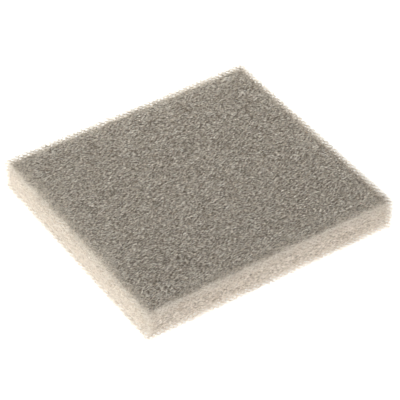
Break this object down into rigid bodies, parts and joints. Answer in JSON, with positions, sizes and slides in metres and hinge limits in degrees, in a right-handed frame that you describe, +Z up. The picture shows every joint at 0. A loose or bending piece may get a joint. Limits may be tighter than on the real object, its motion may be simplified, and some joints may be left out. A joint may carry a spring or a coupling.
{
  "type": "foam air filter pad",
  "caption": "Rectangular flat pad of open-cell foam, cut square on all sides, that fills the pocket of a small engine's air filter housing and strains its intake air.",
  "frame": {"origin": "centre of the underside, where the pad rests", "axes": "+X along the long side, +Y along the short side, +Z up through the thickness, towards the top face"},
  "size_m": [0.075, 0.0676, 0.0095],
  "materials": {
    "foam": "matte"
  },
  "bodies": {
    "root": {"foam_pad": "foam"}
  },
  "joints": []
}
